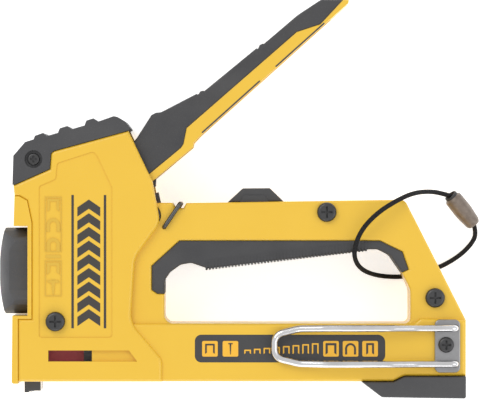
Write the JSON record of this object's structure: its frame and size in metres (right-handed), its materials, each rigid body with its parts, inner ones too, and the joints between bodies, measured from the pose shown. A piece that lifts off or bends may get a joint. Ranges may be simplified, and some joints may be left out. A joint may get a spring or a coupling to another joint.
{
  "type": "manual staple gun",
  "caption": "Hand-operated staple gun with squeeze lever, closed hand opening, slide-out magazine, front selector knob, belt hook and wrist lanyard.",
  "frame": {"origin": "centre of the bounding box without the lanyard, on the face the tool lies on", "axes": "The tool lies on its side. +X from the nose to the rear, +Y from the magazine base to the squeeze lever, +Z out of the upper side face."},
  "size_m": [0.2236, 0.1839, 0.0388],
  "materials": {
    "yellow_shell": "satin",
    "black_plastic": "matte",
    "black_rubber": "matte",
    "label": "satin",
    "bright_steel": "brushed",
    "dark_steel": "satin",
    "spring_steel": "satin",
    "plated_wire": "polished",
    "red_plastic": "matte",
    "damper_rubber": "matte",
    "cord": "woven",
    "clasp": "matte"
  },
  "bodies": {
    "housing": {"housing_upper": "yellow_shell", "housing_lower": "yellow_shell", "front_cover": "yellow_shell", "top_cap": "black_plastic", "cap_screw": "dark_steel", "housing_screws": "bright_steel", "hand_grip": "black_rubber", "lever_stop_pad": "black_rubber", "side_labels": "label", "magazine_channel": "bright_steel", "nose_guide": "dark_steel", "nose_strip": "bright_steel", "striker_damper": "damper_rubber", "spring_seat": "dark_steel", "power_spring": "spring_steel", "lever_pin": "bright_steel", "pivot_bushes": "black_plastic", "lever_return_spring": "spring_steel", "belt_hook_plate": "dark_steel", "belt_hook_wire": "plated_wire", "belt_hook_screw": "bright_steel", "lanyard_cord": "cord", "lanyard_clasp": "clasp"},
    "lever": {"lever_arm": "yellow_shell", "lever_grip": "black_rubber", "drive_arm": "dark_steel", "lever_cross_pins": "bright_steel"},
    "striker_body": {"striker": "dark_steel", "driver_blade": "bright_steel"},
    "drawer": {"drawer_rail": "bright_steel", "drawer_foot": "black_plastic", "spring_stop": "dark_steel", "pusher_spring": "spring_steel"},
    "pusher_body": {"pusher": "dark_steel", "indicator_flag": "red_plastic"},
    "lock": {"lock_bail": "plated_wire"},
    "knob": {"front_knob": "black_plastic", "knob_spindle": "bright_steel", "knob_cam": "dark_steel"}
  },
  "joints": [
    {"name": "lever_hinge", "type": "hinge", "parent": "housing", "child": "lever", "pos_m": [-0.0369, -0.0076, 0.017], "axis": [0, 0, -1], "range_deg": [0, 40], "stiffness_Nm_per_rad": 0.5, "springref_deg": -17.19},
    {"name": "striker_slide", "type": "slide", "parent": "housing", "child": "striker_body", "axis": [0, 1, 0], "range_m": [0, 0.0192], "deforming": ["power_spring"]},
    {"name": "drawer_slide", "type": "slide", "parent": "housing", "child": "drawer", "axis": [1, 0, 0], "range_m": [0, 0.095]},
    {"name": "pusher_slide", "type": "slide", "parent": "drawer", "child": "pusher_body", "axis": [1, 0, 0], "range_m": [0, 0.085], "stiffness_N_per_m": 30, "springref_m": -0.03, "deforming": ["pusher_spring"]},
    {"name": "lock_hinge", "type": "hinge", "parent": "housing", "child": "lock", "pos_m": [-0.03, -0.0131, 0.017], "axis": [0, 0, 1], "range_deg": [0, 20]},
    {"name": "knob_turn", "type": "hinge", "parent": "housing", "child": "knob", "pos_m": [-0.0932, -0.0333, 0.017], "axis": [1, 0, 0], "range_deg": [0, 90]}
  ],
  "couplings": [
    {"joint": "striker_slide", "follows": "lever_hinge", "m_per_rad": 0.02743}
  ]
}
